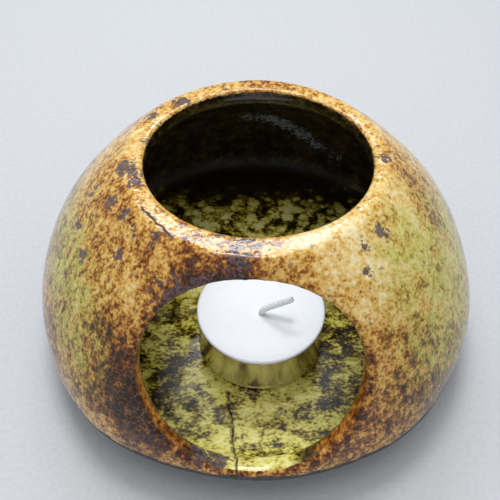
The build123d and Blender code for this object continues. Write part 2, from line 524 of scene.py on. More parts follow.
    def oval_prism(self) -> bpy.types.Object:
        """Makes the oval prism that cuts the front opening."""
        mesh = bmesh.new()
        ring = bmesh.ops.create_circle(mesh, cap_ends=True, radius=1.0, segments=160)["verts"]
        bmesh.ops.scale(mesh, vec=(self.opening_half_width, self.opening_half_height, 1.0), verts=ring)
        length = self.belly_radius * 1.2
        grown = bmesh.ops.extrude_face_region(mesh, geom=mesh.faces[:])["geom"]
        tops = [v for v in grown if isinstance(v, bmesh.types.BMVert)]
        bmesh.ops.translate(mesh, vec=(0, 0, length), verts=tops)
        bmesh.ops.recalc_face_normals(mesh, faces=mesh.faces)
        start = self.mouth_half_depth / 2
        height = self.opening_middle / math.cos(self.opening_rise)
        stand = Matrix.Rotation(math.pi / 2 - self.opening_rise, 4, "X")
        out = Vector((0, -math.cos(self.opening_rise), math.sin(self.opening_rise)))
        place = Matrix.Translation(Vector((self.opening_x, 0, height)) + out * start)
        bmesh.ops.transform(mesh, matrix=place @ stand, verts=mesh.verts)
        return as_object("oval_prism", mesh)

    def cut_and_evened(self) -> bpy.types.Object:
        """Cuts the opening and evens the wall out into one fine skin."""
        mesh = self.turned()
        self.pull_mouth_oval(mesh)
        piece = as_object(self.name, mesh)
        prism = self.oval_prism()
        cut = piece.modifiers.new("cut", "BOOLEAN")
        cut.operation, cut.solver, cut.object = "DIFFERENCE", "EXACT", prism
        settled(piece)
        bpy.data.objects.remove(prism)
        self.round_cut(piece)
        even = piece.modifiers.new("even", "REMESH")
        even.mode, even.voxel_size, even.use_smooth_shade = "VOXEL", self.voxel, True
        return settled(piece)

    def round_cut(self, piece: bpy.types.Object) -> None:
        """Rounds the cut's outer edge with a large bevel and its inner edge with a small one."""
        mesh = bmesh.new()
        mesh.from_mesh(piece.data)
        for outside, width in ((True, self.cut_outer_round), (False, self.cut_inner_round)):
            points = np.array([v.co for v in mesh.verts])
            mesh.verts.index_update()
            on_cut = np.abs(self.oval_distance(points)) < 0.1 * MM
            wanted = on_cut & ((self.depth(points) < 1.5 * MM) == outside)
            edges = [
                e for e in mesh.edges
                if all(wanted[v.index] for v in e.verts) and e.calc_face_angle(0.0) > self.sharp_turn
            ]
            bmesh.ops.bevel(
                mesh, geom=edges, offset=width, segments=4, profile=0.5, affect="EDGES",
                material=-1, clamp_overlap=False,
            )
        mesh.to_mesh(piece.data)
        mesh.free()

    def oval_distance(self, points: np.ndarray) -> np.ndarray:
        """Rough distance of each point outside the front opening's oval prism."""
        across = points[:, 2] * math.cos(self.opening_rise)
        across += points[:, 1] * math.sin(self.opening_rise) - self.opening_middle
        aside = (points[:, 0] - self.opening_x) / self.opening_half_width
        size = np.hypot(aside, across / self.opening_half_height)
        away = (size - 1) * min(self.opening_half_width, self.opening_half_height)
        return np.where(points[:, 1] < 0, away, np.inf)

    def mouth_distance(self, points: np.ndarray) -> np.ndarray:
        """Distance of each point from the mouth's oval, positive outside it."""
        aside = (points[:, 0] - self.mouth_x) / self.mouth_half_width
        deep = (points[:, 1] - self.mouth_y) / self.mouth_half_depth
        return (np.hypot(aside, deep) - 1) * self.mouth_radius

    def depth(self, points: np.ndarray) -> np.ndarray:
        """Depth of each point under the dome's outer skin."""
        radius, height = np.hypot(points[:, 0], points[:, 1]), points[:, 2]
        cx, cz = self.shoulder_centre
        shoulder = self.shoulder_arc_radius - np.hypot(radius - cx, height - cz)
        bx, bz = self.belly_centre
        belly = self.belly_arc_radius - np.hypot(radius - bx, height - bz)
        return np.where(height > self.shoulder_bottom, shoulder, belly)

    def thin_out(self, piece: bpy.types.Object) -> None:
        """Thins out the skin's faces, but not where the cracks go."""
        points = np.array([v.co for v in piece.data.vertices])
        away = np.minimum(*(distance_to_path(points, p) for p in (self.crack, self.scratch)))
        kept = piece.vertex_groups.new(name="kept")
        kept.add(np.flatnonzero(away < 2.4 * MM).tolist(), 1.0, "REPLACE")
        thin = piece.modifiers.new("thin", "DECIMATE")
        thin.ratio, thin.vertex_group, thin.invert_vertex_group = self.thinned_share, kept.name, True
        settled(piece)
        piece.vertex_groups.clear()

    def soften(self, mesh: bmesh.types.BMesh) -> None:
        """Rounds the cut edges as the glaze does, and calms the rest of the skin a little."""
        points = np.array([v.co for v in mesh.verts])
        near = np.abs(self.oval_distance(points)) < 3.2 * MM
        outer = near & (self.depth(points) < 3.0 * MM)
        bridge = outer & (points[:, 2] > self.opening_middle)
        sill = (np.abs(self.oval_distance(points)) < 4.0 * MM) & (self.depth(points) > 2.2 * MM)
        sill &= points[:, 2] < self.opening_middle - 8 * MM
        crest = outer & (points[:, 2] < self.opening_middle - 10 * MM)
        roll = (np.abs(self.mouth_distance(points)) < 4.5 * MM) & (points[:, 1] > -14 * MM)
        roll &= np.abs(points[:, 2] - self.rim_height + 7 * MM) < 4 * MM
        everywhere = np.full(len(points), True)
        for wanted, rounds in ((everywhere, 5), (near, 4), (bridge, 34), (sill, 24), (crest, 14), (roll, 40), (everywhere, 2)):
            verts = [v for v, chosen in zip(mesh.verts, wanted) if chosen]
            for _ in range(rounds):
                bmesh.ops.smooth_vert(
                    mesh, verts=verts, factor=0.5, use_axis_x=True, use_axis_y=True, use_axis_z=True
                )

    @staticmethod
    def unevenness(points: np.ndarray) -> np.ndarray:
        """How far each point of the outside stands off the turned form, as thrown by hand."""
        slow = np.array([noise.noise(Vector(p) / (24 * MM)) for p in points])
        quick = np.array([noise.noise(Vector(p) / (7 * MM)) for p in points])
        swells = sum(swell.lift(points) for swell in SWELLS)
        return (0.30 * slow + 0.10 * quick - 0.25) * MM + swells

    def work_by_hand(self, mesh: bmesh.types.BMesh) -> None:
        """Moves the outside in and out a little, as hands and a running glaze leave it."""
        mesh.normal_update()
        points = np.array([v.co for v in mesh.verts])
        moves = self.unevenness(points) * ease(self.depth(points), 4 * MM, 2 * MM)
        moves *= ease(points[:, 2], MM, 6 * MM)
        moves *= ease(np.abs(self.oval_distance(points)), MM, 6 * MM)
        brow = self.rim_height - self.brow_depth
        for vert, move in zip(mesh.verts, moves):
            vert.co += vert.normal * move
            if vert.co.z > brow:
                vert.co.z = brow + (vert.co.z - brow) * self.brow_share

    def engrave(self, mesh: bmesh.types.BMesh, path: Sequence[Point]) -> None:
        """Cuts a fine crack into the skin along a path.

        Args:
            mesh: The skin, which is divided more finely along the path.
            path: The corners of the crack.
        """
        for reach in (1.7, 1.1, 0.8):
            points = np.array([v.co for v in mesh.verts])
            near = distance_to_path(points, path) < reach * MM
            mesh.verts.ensure_lookup_table()
            mesh.verts.index_update()
            edges = [e for e in mesh.edges if all(near[v.index] for v in e.verts)]
            bmesh.ops.subdivide_edges(mesh, edges=edges, cuts=1, use_grid_fill=True)
        mesh.normal_update()
        points = np.array([v.co for v in mesh.verts])
        depth = self.crack_depth * ease(self.crack_distance(points, path), self.crack_width, 0.0)
        for vert, amount in zip(mesh.verts, depth):
            if amount > 0:
                vert.co -= vert.normal * amount

    @staticmethod
    def crack_distance(points: np.ndarray, path: Sequence[Point]) -> np.ndarray:
        """Distance of each point from a crack, which wanders a little off its path."""
        wander = np.zeros_like(points)
        for axis, shift in ((0, 0.0), (1, 40.0)):
            moved = points / (2.2 * MM) + shift
            wander[:, axis] = [noise.noise(Vector(p)) for p in moved]
        return distance_to_path(points + wander * 0.55 * MM, path)

    def marks(self, points: np.ndarray) -> dict[str, np.ndarray]:
        """Says where each point of the skin lies.

        Args:
            points: The skin's points, one in a row.

        Returns:
            An array from nought to one for each mark's name.
        """
        height = points[:, 2]
        depth, oval, mouth = self.depth(points), self.oval_distance(points), self.mouth_distance(points)
        front = ease(points[:, 1], -20 * MM, -50 * MM)
        floor_top = self.floor_height + (2.0 + 6.5 * front) * MM
        sill = ease(np.abs(points[:, 0] - self.opening_x), 26 * MM, 8 * MM)
        sill *= ease(points[:, 1], -50 * MM, -56 * MM)
        on_sill = sill * ease(depth, 0.8 * MM, 2.0 * MM) * ease(np.abs(oval), 3 * MM, 2 * MM)
        in_mouth = ease(mouth, 1.4 * MM, 0.5 * MM) * ease(
            height, self.rim_height - 0.6 * MM, self.rim_height - 2.2 * MM
        )
        in_wall = np.maximum(ease(depth, 4.0 * MM, 5.4 * MM), on_sill)
        in_wall *= ease(height, 9.0 * MM, 10.5 * MM)
        crest = np.hypot(mouth - 3.0 * MM, height - self.rim_height)
        crack = np.minimum(*(self.crack_distance(points, p) for p in (self.crack, self.scratch)))
        found = {
            "inside": np.maximum(in_mouth, in_wall),
            "floor": ease(height - floor_top, 1.5 * MM, -0.5 * MM),
            "lip": ease(crest, 5.5 * MM, 1.5 * MM),
            "cut_edge": ease(np.abs(oval), 3.4 * MM, 0.8 * MM),
            "cut_face": ease(np.abs(oval), 2.4 * MM, 1.0 * MM)
            * ease(depth, 0.8 * MM, 2.2 * MM)
            * (1 - sill),
            "bare": np.maximum.reduce([
                ease(height, 18.6 * MM, 15.4 * MM) * ease(depth, 4 * MM, 2 * MM) * (1 - on_sill),
                ease(height, 11.2 * MM, 10.4 * MM) * ease(depth, 5.8 * MM, 5.0 * MM),
                ease(height, 10.3 * MM, 9.7 * MM),
            ]),
            "sill": ease(points[:, 1], -43 * MM, -50 * MM)
            * ease(height, 21 * MM, 17 * MM)
            * ease(depth, 2.0 * MM, 3.2 * MM),
            "crack": ease(crack, self.crack_width, 0.1 * MM),
            "stain": ease(crack, 1.4 * MM, 0.2 * MM),
        }
        for tone, patches in PATCHES.items():
            found[tone.value] = sum(patch.weight(points) for patch in patches)
        return found

    def build(self, finish: bpy.types.Material) -> bpy.types.Object:
        """Models the body, marks its skin and puts it in place.

        Args:
            finish: The glaze.

        Returns:
            The finished piece.
        """
        piece = self.cut_and_evened()
        mesh = bmesh.new()
        mesh.from_mesh(piece.data)
        self.soften(mesh)
        mesh.to_mesh(piece.data)
        self.thin_out(piece)
        mesh.clear()
        mesh.from_mesh(piece.data)
        self.work_by_hand(mesh)
        for path in (self.crack, self.scratch):
            self.engrave(mesh, path)
        points = np.array([v.co for v in mesh.verts])
        mesh.to_mesh(piece.data)
        mesh.free()
        piece.data.shade_smooth()
        for name, values in self.marks(points).items():
            mark = piece.data.attributes.new(name, "FLOAT", "POINT")
            mark.data.foreach_set("value", values.astype(np.float32))
        dress(piece, finish)
        return placed(piece, "body", "glaze", "ceramic_body")


@dataclass
class Candle:
    """The tealight: a pressed cup, the wax cast in it and a plaited wick."""

    sheet: float = 0.32 * MM
    heel_radius: float = 1.2 * MM
    base_lift: float = 0.9 * MM
    base_ring_width: float = 2.6 * MM
    bead: float = 0.22 * MM
    wax_edge_round: float = 1.1 * MM
    wick_bend_radius: float = 2.6 * MM
    wick_lean: float = math.radians(52)
    wick_turn: float = math.radians(-9)
    core_radius: float = 0.84 * MM
    strand_count: int = 8
    strand_radius: float = 0.26 * MM
    strand_reach: float = 0.70 * MM
    wick_voxel: float = 0.11 * MM
    plait_pitch: float = 5.2 * MM

    def __post_init__(self) -> None:
        """Takes the candle's place and size from the frame."""
        low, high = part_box("tealight_cup")
        self.centre = Vector(((low.x + high.x) / 2, (low.y + high.y) / 2, 0.0))
        self.cup_radius = (high.x - low.x) / 2
        self.cup_bottom, self.cup_top = low.z, high.z
        low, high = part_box("wax")
        self.wax_radius = (high.x - low.x) / 2
        self.wax_bottom, self.wax_top = low.z, high.z
        low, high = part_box("wick")
        self.wick_low, self.wick_high = low, high

    def stood(self, name: str, mesh: bmesh.types.BMesh) -> bpy.types.Object:
        """Moves a turned mesh onto the candle's axis and makes it an object."""
        bmesh.ops.translate(mesh, vec=self.centre, verts=mesh.verts)
        return as_object(name, mesh)

    def cup(self, finish: bpy.types.Material) -> bpy.types.Object:
        """Spins the cup's thin wall with its heel, lifted base and rolled rim."""
        fine = 0.25 * MM
        radius, bottom, top, sheet = self.cup_radius, self.cup_bottom, self.cup_top, self.sheet
        step_radius = radius - self.heel_radius - self.base_ring_width
        lathe = Lathe(0.0, bottom + self.base_lift).line(step_radius - sheet, bottom + self.base_lift, MM)
        lathe.line(step_radius, bottom, fine).line(radius - self.heel_radius, bottom, MM)
        lathe.arc((radius - self.heel_radius, bottom + self.heel_radius), math.pi / 2, fine)
        wall = radius - self.bead
        lathe.line(wall, bottom + self.heel_radius + 2 * self.bead, fine)
        lathe.line(wall, top - 2 * self.bead, 0.6 * MM).line(radius, top - self.bead, fine / 2)
        lathe.arc((radius - self.bead, top - self.bead), math.pi, fine / 3)
        lathe.line(wall - sheet, top - 2 * self.bead, fine)
        lathe.line(wall - sheet, bottom + self.heel_radius, 0.6 * MM)
        inner = self.heel_radius - sheet
        lathe.arc((wall - sheet - inner, bottom + self.heel_radius), -math.pi / 2, fine)
        lathe.line(step_radius + sheet, bottom + sheet, MM)
        lathe.line(step_radius, bottom + self.base_lift + sheet, fine)
        lathe.line(0.0, bottom + self.base_lift + sheet, MM)
        mesh = lathe.turned(144)
        for vert in mesh.verts:
            around = math.atan2(vert.co.y, vert.co.x)
            ripple = noise.noise(Vector((math.cos(around), math.sin(around), 0.0)) * 3.2)
            share = (vert.co.z - bottom) / (top - bottom)
            if self.heel_radius < vert.co.z - bottom < top - bottom - 3 * self.bead:
                vert.co.xy *= 1 - (0.004 + 0.006 * ripple) * math.sin(share * math.pi)
        piece = self.stood("candle_cup", mesh)
        dress(piece, finish)
        return placed(piece, "tealight", "cup_metal", "tealight_cup")

    def wax(self, finish: bpy.types.Material) -> bpy.types.Object:
        """Spins the wax with its soft upper edge and the small rise round the wick."""
        fine, edge, sink = 0.3 * MM, self.wax_edge_round, 0.25 * MM
        lathe = Lathe(0.0, self.wax_top - sink)
        for share in (0.3, 0.6, 0.9):
            radius = share * (self.wax_radius - edge)
            lathe.line(radius, self.wax_top - sink * (1 - share**2), MM)
        brim = self.cup_radius - 0.02 * MM
        over = (self.wax_top - self.cup_top) * 0.9
        lathe.line(brim - over, self.wax_top, MM)
        lathe.arc((brim - over, self.wax_top - over), -math.pi / 2, fine / 3)
        lathe.line(brim, self.cup_top, fine).line(self.wax_radius, self.cup_top, fine)
        lathe.line(self.wax_radius, self.wax_bottom + edge, MM)
        lathe.arc((self.wax_radius - edge, self.wax_bottom + edge), -math.pi / 2, fine)
        step_radius = self.cup_radius - self.heel_radius - self.base_ring_width
        lathe.line(step_radius, self.wax_bottom, MM)
        lathe.line(step_radius, self.wax_bottom + self.base_lift, fine)
        lathe.line(0.0, self.wax_bottom + self.base_lift, MM)
        piece = self.stood("candle_wax", lathe.turned(120))
        dress(piece, finish)
        return placed(piece, "tealight", "wax", "wax")

    def wick_line(self) -> list[Point]:
        """Middle line of the wick: up through the wax, over a bend and along its lean."""
        start = Vector((self.centre.x, (self.wick_low.y + self.wick_high.y) / 2, self.wick_low.z))
        radius = 1.0 * MM
        start.x = self.centre.x
        start.y = self.wick_high.y - radius
        side = Vector((math.cos(self.wick_turn), math.sin(self.wick_turn), 0.0))
        up = Vector((0, 0, 1))
        rise = self.wax_top - self.wick_low.z
        points = [start + up * rise * share for share in (0.0, 0.35, 0.7, 0.92)]
        middle = start + up * rise + side * self.wick_bend_radius
        for share in (0.25, 0.5, 0.75, 1.0):
            angle = self.wick_lean * share
            arm = -side * math.cos(angle) + up * math.sin(angle)
            points.append(middle + arm * self.wick_bend_radius)
        ahead = side * math.sin(self.wick_lean) + up * math.cos(self.wick_lean)
        free = (self.wick_high.x - radius * 0.6 - points[-1].x) / ahead.x
        points += [points[-1] + ahead * free * share for share in (0.35, 0.7, 1.0)]
        return [tuple(p) for p in points]

    def build(self, foil: "Aluminium", cast: "WaxFinish", cord: "WickFinish") -> None:
        """Builds the three pieces of the candle in their finishes."""
        self.cup(foil.material())
        self.wax(cast.material())
        self.wick(cord.material())

    def tube(self, points: np.ndarray, radius: float) -> bpy.types.Object:
        """Makes a round tube with closed ends along a row of points."""
        curve = bpy.data.curves.new("cord", "CURVE")
        curve.dimensions = "3D"
        curve.bevel_depth, curve.bevel_resolution, curve.use_fill_caps = radius, 2, True
        spline = curve.splines.new("POLY")
        spline.points.add(len(points) - 1)
        spline.points.foreach_set("co", np.column_stack((points, np.ones(len(points)))).ravel())
        made = bpy.data.objects.new("cord", curve)
        bpy.context.scene.collection.objects.link(made)
        return made

    def strand(self, line: np.ndarray, phase: float, way: int) -> bpy.types.Object:
        """Lays one strand of the plait round the wick's middle line.

        Args:
            line: Points close together along the middle line.
            phase: Where round the line the strand starts.
            way: One or minus one, for the two ways that the strands cross.

        Returns:
            The strand as a tube.
        """
        runs = np.linalg.norm(np.diff(line, axis=0), axis=1)
        along = np.concatenate(([0.0], np.cumsum(runs)))
        tangent = np.gradient(line, axis=0)
        tangent /= np.linalg.norm(tangent, axis=1)[:, None]
        side = np.cross(tangent, np.array((math.sin(self.wick_turn), -math.cos(self.wick_turn), 0.0)))
        side /= np.linalg.norm(side, axis=1)[:, None]
        third = np.cross(tangent, side)
        angle = phase + way * math.tau * along / self.plait_pitch
        reach = self.strand_reach + way * 0.03 * MM * np.sin(self.strand_count * angle / 2)
        around = side * (reach * np.cos(angle))[:, None] + third * (reach * np.sin(angle))[:, None]
        return self.tube(line + around, self.strand_radius)

    def wick(self, finish: bpy.types.Material) -> bpy.types.Object:
        """Plaits the wick from strands round a waxed core."""
        corners = np.array(self.wick_line())
        runs = np.concatenate(([0.0], np.cumsum(np.linalg.norm(np.diff(corners, axis=0), axis=1))))
        fine = np.linspace(0.0, runs[-1] - self.strand_radius, 130)
        line = np.column_stack([np.interp(fine, runs, corners[:, i]) for i in range(3)])
        smooth = line.copy()
        for _ in range(30):
            smooth[1:-1] = (smooth[:-2] + smooth[2:]) / 2
        mesh = bmesh.new()
        cords = [self.tube(smooth, self.core_radius)]
        for i in range(self.strand_count):
            cords.append(self.strand(smooth, math.tau * i / self.strand_count, 1 if i % 2 else -1))
        for laid in cords:
            graph = bpy.context.evaluated_depsgraph_get()
            part = bpy.data.meshes.new_from_object(laid.evaluated_get(graph))
            mesh.from_mesh(part)
            bpy.data.objects.remove(laid)
        bmesh.ops.remove_doubles(mesh, verts=mesh.verts, dist=WELD)
        bmesh.ops.recalc_face_normals(mesh, faces=mesh.faces)
        piece = as_object("candle_wick", mesh)
        even = piece.modifiers.new("even", "REMESH")
        even.mode, even.voxel_size, even.use_smooth_shade = "VOXEL", self.wick_voxel, True
        settled(piece)
        dress(piece, finish)
        return placed(piece, "tealight", "wick_cord", "wick")


# Finishes


class Graph:
    """Places nodes in a tree and wires them."""

    def __init__(self, tree: bpy.types.NodeTree) -> None:
        """Takes the tree to work in."""
        self.tree = tree

    def put(self, kind: str, feeds: dict[Any, Any] | None = None, **settings: Any) -> bpy.types.Node:
        """Places a node.

        Args:
            kind: The node's type.
            feeds: A value or another node's output for each input, by name or number.
            settings: The node's own settings.

        Returns:
            The node.
        """
        node = self.tree.nodes.new(kind)
        for name, value in settings.items():
            setattr(node, name, value)
        for key, value in (feeds or {}).items():
            if isinstance(value, bpy.types.NodeSocket):
                self.tree.links.new(value, node.inputs[key])
            else:
                node.inputs[key].default_value = value
        return node

    def maths(self, operation: str, first: Any, second: Any = 0.0, clamp: bool = False) -> Any:
        """Output of a Math node."""
        feeds = {0: first, 1: second}
        return self.put("ShaderNodeMath", feeds, operation=operation, use_clamp=clamp).outputs[0]

    def weighed(self, *parts: tuple[Any, float]) -> Any:
        """Sum of values, each times its weight."""
        total: Any = 0.0
        for value, weight in parts:
            total = self.put(
                "ShaderNodeMath", {0: value, 1: weight, 2: total}, operation="MULTIPLY_ADD"
            ).outputs[0]
        return total

    def eased(self, value: Any, low: float, high: float) -> Any:
        """Smooth step of a value, from nought at low to one at high."""
        feeds = {"Value": value, "From Min": low, "From Max": high}
        return self.put("ShaderNodeMapRange", feeds, interpolation_type="SMOOTHSTEP").outputs[0]

    def spread(self, value: Any, least: float, most: float) -> Any:
        """A share from nought to one, taken to a range."""
        feeds = {"Value": value, "To Min": least, "To Max": most}
        return self.put("ShaderNodeMapRange", feeds).outputs[0]

    def blend(self, share: Any, first: Any, second: Any, mode: str = "MIX") -> Any:
        """Colour between two colours."""
        node = self.put("ShaderNodeMix", data_type="RGBA", blend_type=mode)
        for socket, value in ((0, share), (6, first), (7, second)):
            if isinstance(value, bpy.types.NodeSocket):
                self.tree.links.new(value, node.inputs[socket])
            else:
                node.inputs[socket].default_value = value
        return node.outputs[2]

    def ramp(self, value: Any, stops: Stops) -> Any:
        """Colour of a value on a ramp of hex colours."""
        node = self.put("ShaderNodeValToRGB", {"Fac": value})
        elements = node.color_ramp.elements
        while len(elements) < len(stops):
            elements.new(1.0)
        for element, (place, code) in zip(elements, stops):
            element.position = place
            element.color = linear(code)
        return node.outputs["Color"]

    def mark(self, name: str) -> Any:
        """Value of one of the skin's marks."""
        return self.put("ShaderNodeAttribute", attribute_name=name).outputs["Fac"]

    def group(self, tree: bpy.types.NodeTree, **feeds: Any) -> Any:
        """First output of a shared group with these values."""
        node = self.put("ShaderNodeGroup", node_tree=tree)
        for name, value in feeds.items():
            socket = node.inputs[name.replace("_", " ").capitalize()]
            if isinstance(value, bpy.types.NodeSocket):
                self.tree.links.new(value, socket)
            else:
                socket.default_value = value
        return node.outputs[0]


def shared_group(
    name: str, numbers: dict[str, float], fill: Callable[[Graph, Any], Any]
) -> bpy.types.NodeTree:
    """Makes a node group with a vector and some numbers as inputs and one mask as output.

    Args:
        name: The group's name.
        numbers: The number inputs and their defaults.
        fill: Makes the nodes and returns the output that becomes the mask.

    Returns:
        The group.
    """
    tree = bpy.data.node_groups.new(name, "ShaderNodeTree")
    tree.interface.new_socket("Vector", in_out="INPUT", socket_type="NodeSocketVector")
    for label, value in numbers.items():
        socket = tree.interface.new_socket(label, in_out="INPUT", socket_type="NodeSocketFloat")
        socket.default_value = value
    tree.interface.new_socket("Mask", in_out="OUTPUT", socket_type="NodeSocketFloat")
    graph = Graph(tree)
    entry = graph.put("NodeGroupInput").outputs
    graph.put("NodeGroupOutput", {"Mask": fill(graph, entry)})
    return tree


class Effects:
    """The effects that several finishes share, each a node group made once."""

    def __init__(self) -> None:
        """Makes the groups."""
        self.mottle = shared_group(
            "Mottle", {"Scale": 300, "Detail": 3, "Low": 0.35, "High": 0.65}, self.fill_mottle
        )
        self.flecks = shared_group(
            "Flecks", {"Scale": 300, "Size": 0.3, "Share": 0.5, "Ragged": 0.5}, self.fill_flecks
        )
        self.runs = shared_group(
            "Runs", {"Reach": 0.06, "Squash": 0.2, "Scale": 300, "Low": 0.4, "High": 0.6},
            self.fill_runs,
        )
        self.veins = shared_group(
            "Veins", {"Scale": 250, "Width": 0.06, "Ragged": 0.5}, self.fill_veins
        )

    @staticmethod
    def fill_mottle(graph: Graph, entry: Any) -> Any:
        """Soft cloudy spots."""
        cloud = graph.put(
            "ShaderNodeTexNoise",
            {"Vector": entry["Vector"], "Scale": entry["Scale"], "Detail": entry["Detail"]},
        )
        return graph.eased(cloud.outputs[0], entry["Low"], entry["High"])

    @staticmethod
    def ragged(graph: Graph, entry: Any, finer: float) -> Any:
        """The place, shaken so that what is drawn there has a ragged outline."""
        scale = graph.maths("MULTIPLY", entry["Scale"], finer)
        cloud = graph.put(
            "ShaderNodeTexNoise", {"Vector": entry["Vector"], "Scale": scale, "Detail": 2.0}
        )
        centred = graph.put(
            "ShaderNodeVectorMath", {0: cloud.outputs["Color"], 1: (0.5, 0.5, 0.5)},
            operation="SUBTRACT",
        )
        amount = graph.maths("DIVIDE", entry["Ragged"], entry["Scale"])
        shaken = graph.put(
            "ShaderNodeVectorMath", {0: centred.outputs[0], "Scale": amount}, operation="SCALE"
        )
        return graph.put(
            "ShaderNodeVectorMath", {0: entry["Vector"], 1: shaken.outputs[0]}, operation="ADD"
        ).outputs[0]

    def fill_flecks(self, graph: Graph, entry: Any) -> Any:
        """Scattered ragged flecks of many sizes, present in a share of their cells."""
        feeds = {"Vector": self.ragged(graph, entry, 2.6), "Scale": entry["Scale"]}
        cells = graph.put("ShaderNodeTexVoronoi", feeds)
        chance = graph.put("ShaderNodeSeparateColor", {0: cells.outputs["Color"]})
        size = graph.maths("MULTIPLY", entry["Size"], graph.spread(chance.outputs[1], 0.45, 1.3))
        soft = graph.maths("MULTIPLY", size, 0.5)
        room = graph.maths("SUBTRACT", size, cells.outputs["Distance"])
        inside = graph.maths("DIVIDE", room, soft, clamp=True)
        present = graph.maths("LESS_THAN", chance.outputs[0], entry["Share"])
        return graph.maths("MULTIPLY", inside, present)

    @staticmethod
    def fill_runs(graph: Graph, entry: Any) -> Any:
        """Cloudy streaks that run down the outside of a turned form."""
        part = graph.put("ShaderNodeSeparateXYZ", {0: entry["Vector"]}).outputs
        flat = graph.put("ShaderNodeCombineXYZ", {"X": part["X"], "Y": part["Y"]})
        way = graph.put("ShaderNodeVectorMath", {0: flat.outputs[0]}, operation="NORMALIZE")
        ring = graph.put(
            "ShaderNodeVectorMath", {0: way.outputs[0], "Scale": entry["Reach"]}, operation="SCALE"
        )
        level = graph.put(
            "ShaderNodeCombineXYZ", {"Z": graph.maths("MULTIPLY", part["Z"], entry["Squash"])}
        )
        place = graph.put(
            "ShaderNodeVectorMath", {0: ring.outputs[0], 1: level.outputs[0]}, operation="ADD"
        )
        cloud = graph.put(
            "ShaderNodeTexNoise",
            {"Vector": place.outputs[0], "Scale": entry["Scale"], "Detail": 3.0},
        )
        return graph.eased(cloud.outputs[0], entry["Low"], entry["High"])

    def fill_veins(self, graph: Graph, entry: Any) -> Any:
        """A net of thin ragged lines."""
        feeds = {"Vector": self.ragged(graph, entry, 1.7), "Scale": entry["Scale"]}
        cells = graph.put("ShaderNodeTexVoronoi", feeds, feature="DISTANCE_TO_EDGE")
        return graph.eased(cells.outputs["Distance"], entry["Width"], 0.0)


def new_material(name: str) -> tuple[bpy.types.Material, Graph, Any]:
    """Makes a material with an empty tree.

    Args:
        name: The material's name.

    Returns:
        The material, its graph and the object coordinates.
    """
    material = bpy.data.materials.new(name)
    material.use_nodes = True
    material.node_tree.nodes.clear()
    graph = Graph(material.node_tree)
    return material, graph, graph.put("ShaderNodeTexCoord").outputs["Object"]


def surface(graph: Graph, height: Any, relief: float, **feeds: Any) -> None:
    """Ends a material in a Principled surface with a bump.

    Args:
        graph: The material's graph.
        height: The bump's height, from nought to about one.
        relief: What a height of one stands for.
        feeds: Inputs of the surface, with a low line for each space in their names.
    """
    bump = graph.put("ShaderNodeBump", {"Height": height, "Strength": 1.0, "Distance": relief})
    named = {label.replace("_", " "): value for label, value in feeds.items()}
    shader = graph.put("ShaderNodeBsdfPrincipled", {**named, "Normal": bump.outputs[0]})
    graph.put("ShaderNodeOutputMaterial", {"Surface": shader.outputs[0]})


